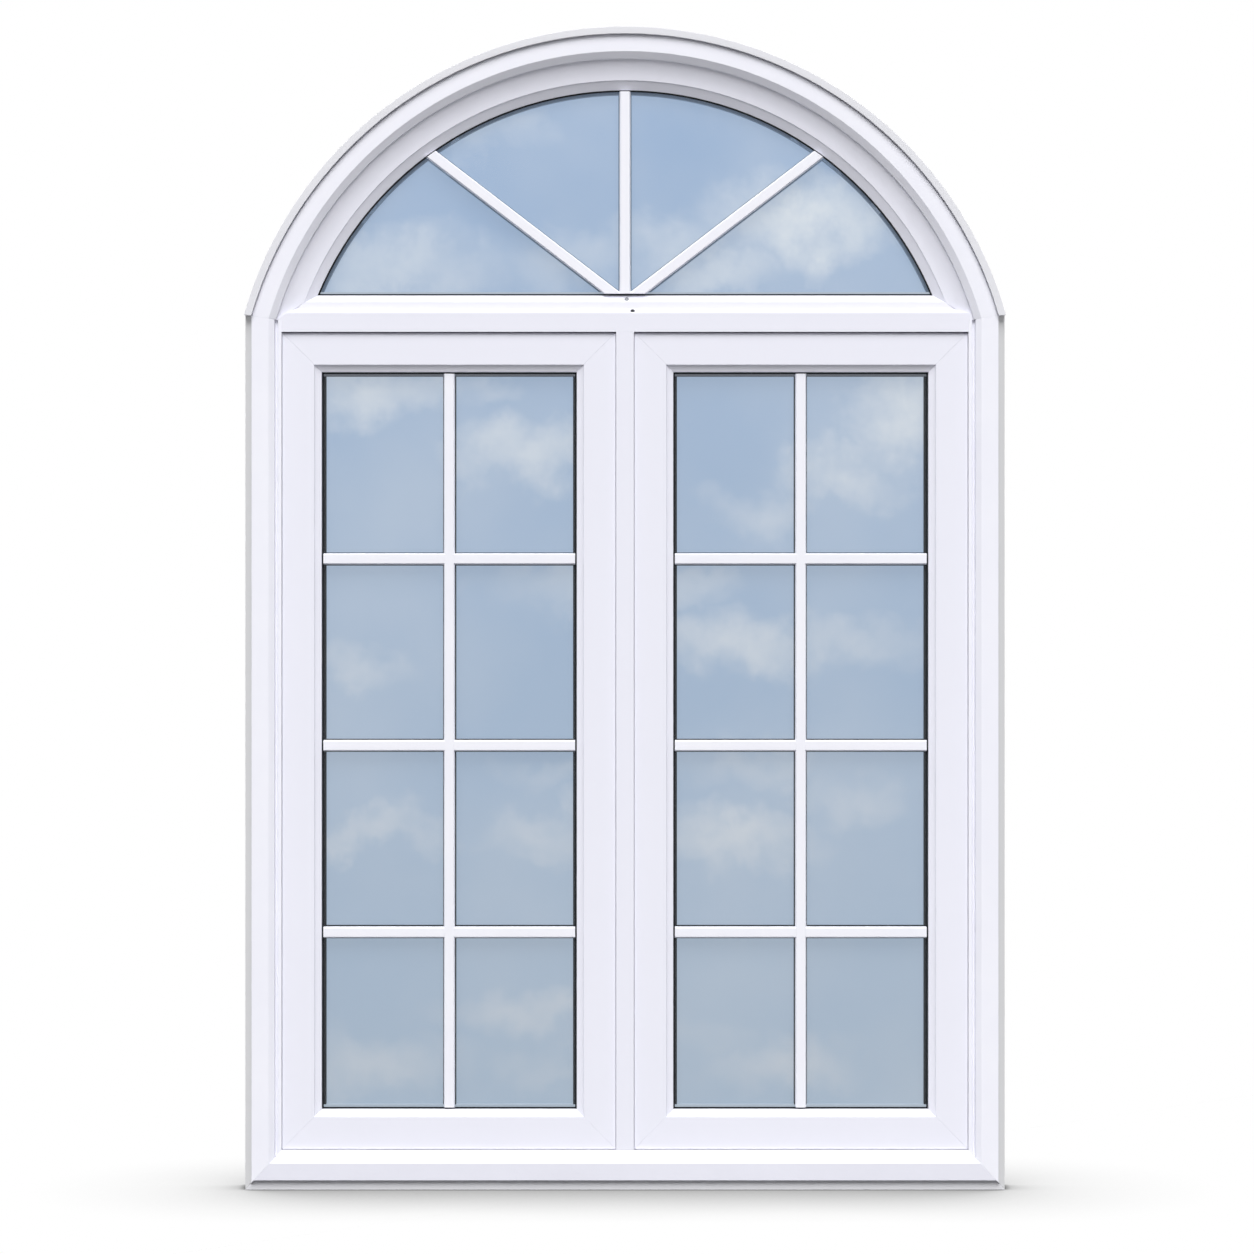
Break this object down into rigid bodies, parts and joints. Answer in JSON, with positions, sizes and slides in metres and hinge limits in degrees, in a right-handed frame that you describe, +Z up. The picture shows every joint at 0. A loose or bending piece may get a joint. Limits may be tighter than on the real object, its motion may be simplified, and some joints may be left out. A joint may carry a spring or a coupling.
{
  "type": "arched top window frame",
  "caption": "White arched-top window frame with a fixed fanlight over paired casement sashes, double-glazed panes and applied glazing bars.",
  "frame": {"origin": "middle of the sill's flat underside, at half the frame's depth", "axes": "+X to the right seen from outside, +Y towards the room (the outside face looks along -Y), +Z up"},
  "size_m": [1.4, 0.1035, 2.14],
  "materials": {
    "white_upvc": "satin white extruded profile",
    "white_bar": "satin white extruded bar",
    "clear_glass": "clear float glass",
    "spacer_bar": "matt dark grey",
    "black_gasket": "matt black",
    "white_handle": "white powder coat"
  },
  "bodies": {
    "root": {"arched_head": "white_upvc", "fanlight_arch_moulding": "white_upvc", "fanlight_bottom_moulding": "white_upvc", "fanlight_centre_bars": "white_bar", "fanlight_gaskets": "black_gasket", "fanlight_inner_pane": "clear_glass", "fanlight_left_radial_bars": "white_bar", "fanlight_outer_pane": "clear_glass", "fanlight_right_radial_bars": "white_bar", "fanlight_spacer": "spacer_bar", "left_jamb": "white_upvc", "left_sash_bottom_rail": "white_upvc", "left_sash_cross_bars": "white_bar", "left_sash_gaskets": "black_gasket", "left_sash_handle": "white_handle", "left_sash_inner_pane": "clear_glass", "left_sash_inner_stile": "white_upvc", "left_sash_outer_pane": "clear_glass", "left_sash_outer_stile": "white_upvc", "left_sash_rail_beads": "white_upvc", "left_sash_spacer": "spacer_bar", "left_sash_stile_beads": "white_upvc", "left_sash_top_rail": "white_upvc", "left_sash_upright_bars": "white_bar", "left_sash_weather_seal": "black_gasket", "mullion": "white_upvc", "right_jamb": "white_upvc", "right_sash_bottom_rail": "white_upvc", "right_sash_cross_bars": "white_bar", "right_sash_gaskets": "black_gasket", "right_sash_handle": "white_handle", "right_sash_inner_pane": "clear_glass", "right_sash_inner_stile": "white_upvc", "right_sash_outer_pane": "clear_glass", "right_sash_outer_stile": "white_upvc", "right_sash_rail_beads": "white_upvc", "right_sash_spacer": "spacer_bar", "right_sash_stile_beads": "white_upvc", "right_sash_top_rail": "white_upvc", "right_sash_upright_bars": "white_bar", "right_sash_weather_seal": "black_gasket", "sill_rail": "white_upvc", "transom": "white_upvc"}
  },
  "joints": []
}
